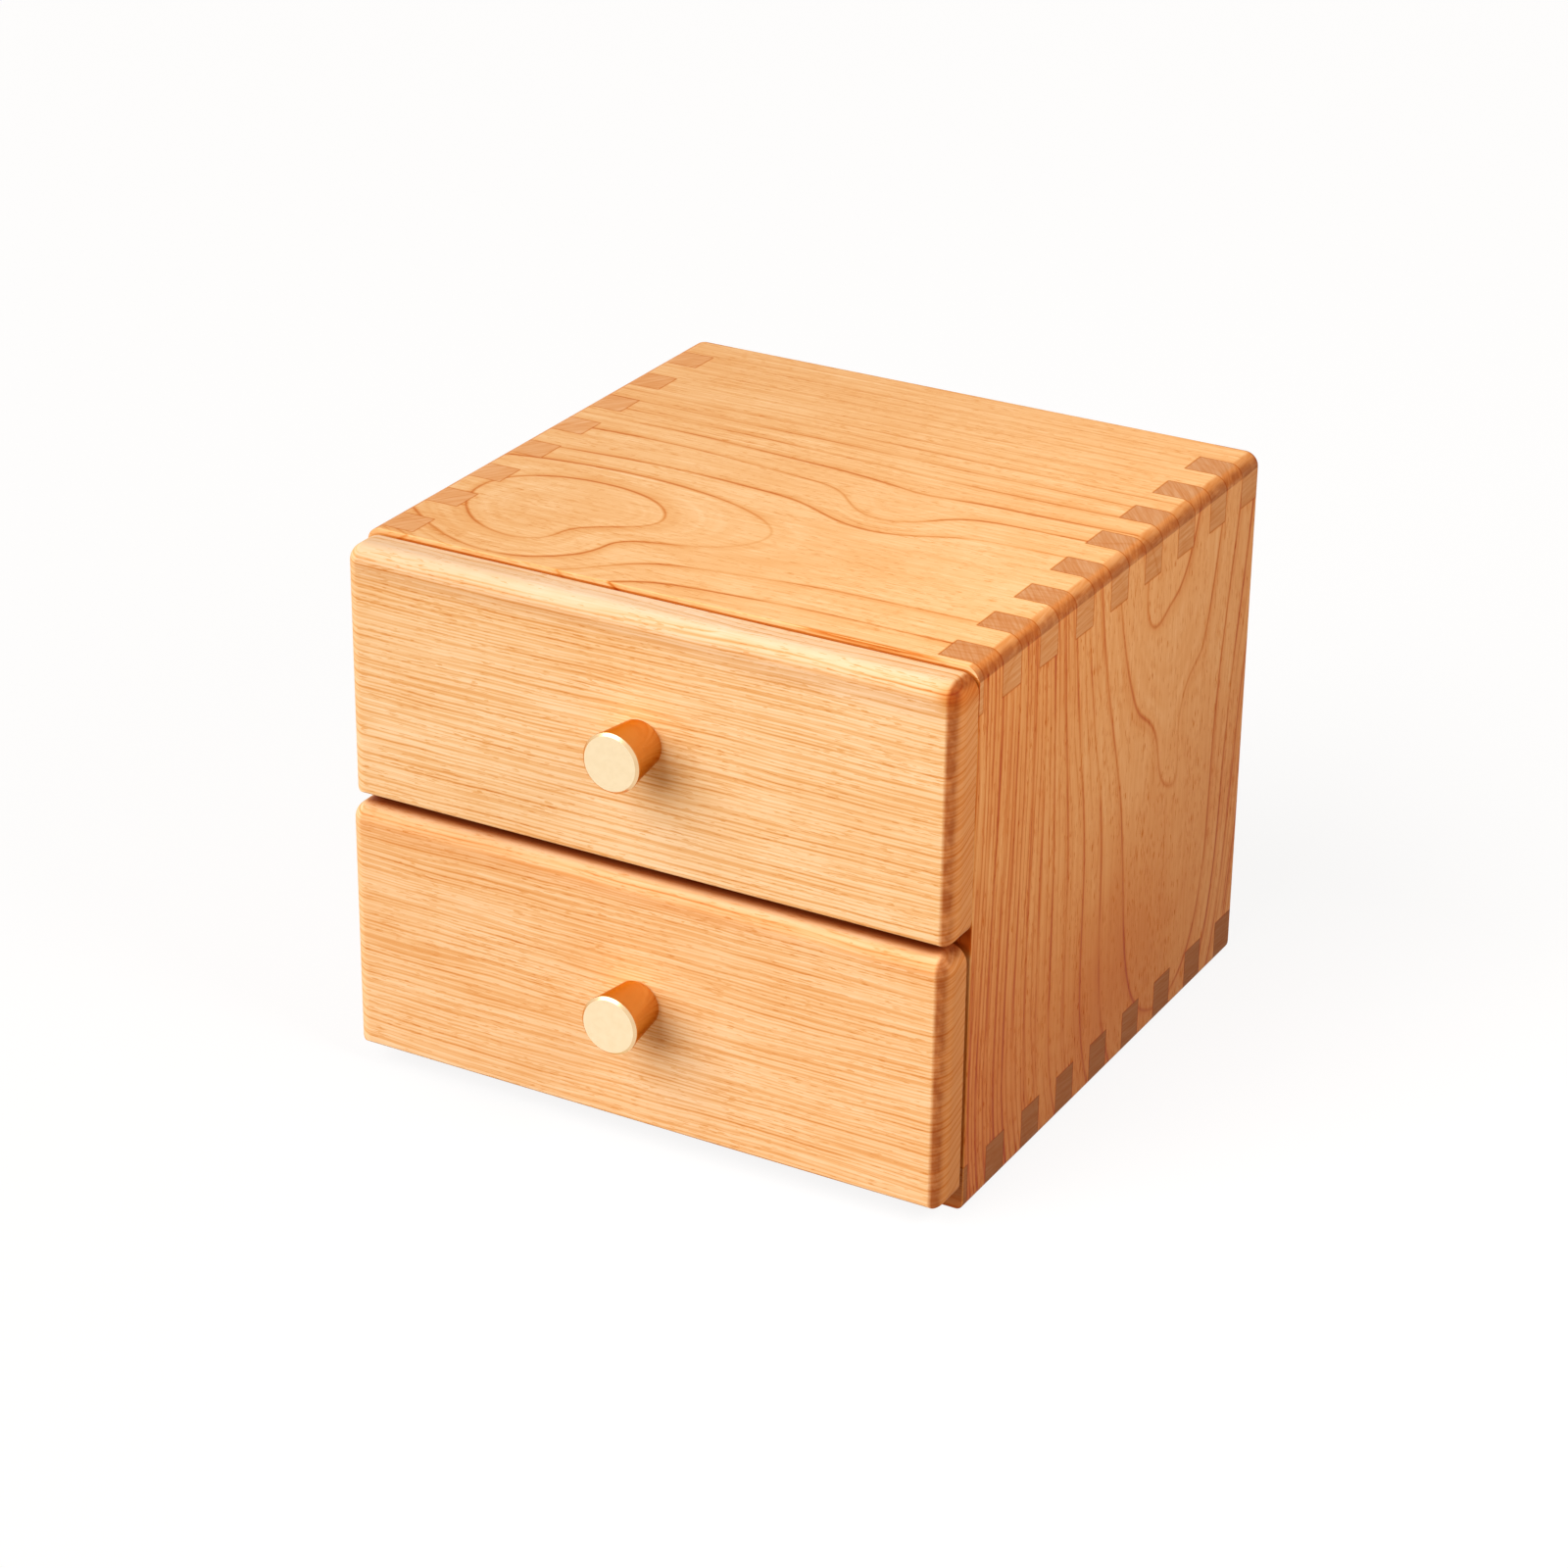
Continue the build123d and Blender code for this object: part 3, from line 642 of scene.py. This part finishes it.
brass, steel = (makeMetal(name, metal) for name, metal in metals.items())
for name in nodes:
    if name.endswith("_knob"):
        dress(name, brass)
    elif "screw" in name:
        dress(name, steel)
print("metal: knobs and screws")


# Stage, lights and camera

def addObject(name, data):
    added = bpy.data.objects.new(name, data)
    bpy.context.scene.collection.objects.link(added)
    return added


def seenRays(tree):
    # what the camera sees, itself or in a reflection or through glass
    rays = tree.nodes.new("ShaderNodeLightPath").outputs
    seen = calc(tree, "MAXIMUM", rays["Is Camera Ray"], rays["Is Glossy Ray"])
    return rays, calc(tree, "MAXIMUM", seen, rays["Is Transmission Ray"])


# Plain pale floor: what is seen of it is lifted to white, and a faint shadow stays. It is open where the
# box stands on it, so that the underside can be seen from below.
stage = {"size": 12.0, "inset": 2.4 * mm, "colour": (0.36, 0.26, 0.17, 1),
         "seenColour": (0.16, 0.16, 0.16, 1), "rough": 0.8, "lift": 0.86}


def makeFloorMesh():
    low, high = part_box("bottom_board")
    reach, inset = stage["size"] / 2, stage["inset"]
    rim = [(-reach, -reach, 0), (reach, -reach, 0), (reach, reach, 0), (-reach, reach, 0)]
    for x, y in ((low.x, low.y), (high.x, low.y), (high.x, high.y), (low.x, high.y)):
        rim.append((x - math.copysign(inset, x), y - math.copysign(inset, y), 0))
    mesh = bpy.data.meshes.new("floor")
    mesh.from_pydata(rim, [], [(0, 1, 5, 4), (1, 2, 6, 5), (2, 3, 7, 6), (3, 0, 4, 7)])
    return mesh


def makeFloor():
    material = bpy.data.materials.new("floor")
    material.use_nodes = True
    tree = material.node_tree
    shader = tree.nodes["Principled BSDF"]
    rays, seen = seenRays(tree)
    colour = blendColour(tree, seen, stage["colour"], stage["seenColour"])
    tree.links.new(colour, shader.inputs["Base Color"])
    shader.inputs["Roughness"].default_value = stage["rough"]
    shader.inputs["Specular IOR Level"].default_value = 0.0
    shader.inputs["Emission Color"].default_value = white
    tree.links.new(calc(tree, "MULTIPLY", seen, stage["lift"]), shader.inputs["Emission Strength"])
    # a camera below the floor looks through it
    side = tree.nodes.new("ShaderNodeNewGeometry")
    below = calc(tree, "MULTIPLY", side.outputs["Backfacing"], rays["Is Camera Ray"])
    clear = tree.nodes.new("ShaderNodeBsdfTransparent")
    either = tree.nodes.new("ShaderNodeMixShader")
    tree.links.new(below, either.inputs["Fac"])
    tree.links.new(shader.outputs["BSDF"], either.inputs[1])
    tree.links.new(clear.outputs["BSDF"], either.inputs[2])
    tree.links.new(either.outputs["Shader"], tree.nodes["Material Output"].inputs["Surface"])
    return material


floor = addObject("floor", makeFloorMesh())
floor.data.materials.append(makeFloor())

sun = {"towards": (-0.42, -0.70, 0.54), "angle": 62, "power": 3.17, "colour": (1, 1, 1)}
sunData = bpy.data.lights.new("key", "SUN")
sunData.energy = sun["power"]
sunData.angle = math.radians(sun["angle"])
sunData.color = sun["colour"]
key = addObject("key", sunData)
key.rotation_euler = Vector(sun["towards"]).to_track_quat("Z", "Y").to_euler()

fill = {"place": (0.44, -0.15, 0.44), "aim": (0, 0, 85 * mm), "size": 0.25, "power": 1.46,
        "colour": (1, 1, 1)}
fillData = bpy.data.lights.new("fill", "AREA")
fillData.size = fill["size"]
fillData.energy = fill["power"]
fillData.color = fill["colour"]
lamp = addObject("fill", fillData)
lamp.location = fill["place"]
lamp.rotation_euler = (Vector(fill["aim"]) - lamp.location).to_track_quat("-Z", "Y").to_euler()

sky = {"light": 0.24, "seen": 1.0, "tint": (1, 0.74, 0.52, 1)}
world = bpy.data.worlds.new("studio")
bpy.context.scene.world = world
world.use_nodes = True
background = world.node_tree.nodes["Background"]
_, seen = seenRays(world.node_tree)
strength = calc(world.node_tree, "MULTIPLY_ADD", seen, sky["seen"] - sky["light"], sky["light"])
world.node_tree.links.new(strength, background.inputs["Strength"])
skyColour = blendColour(world.node_tree, seen, sky["tint"], white)
world.node_tree.links.new(skyColour, background.inputs["Color"])

view = {"place": (0.55343, -1.01821, 0.62818), "azimuth": 29.087, "elevation": 25.632, "roll": 0.656,
        "lens": 95.98, "sensor": 36}
cameraData = bpy.data.cameras.new("camera")
cameraData.lens = view["lens"]
cameraData.sensor_width = view["sensor"]
camera = addObject("camera", cameraData)
turnRound = Matrix.Rotation(math.radians(view["azimuth"]), 4, "Z")
tiltDown = Matrix.Rotation(math.radians(90 - view["elevation"]), 4, "X")
roll = Matrix.Rotation(math.radians(view["roll"]), 4, "Z")
camera.matrix_world = Matrix.Translation(view["place"]) @ turnRound @ tiltDown @ roll
bpy.context.scene.camera = camera
bpy.context.scene.view_settings.view_transform = "Standard"
print("stage, lights and camera set")
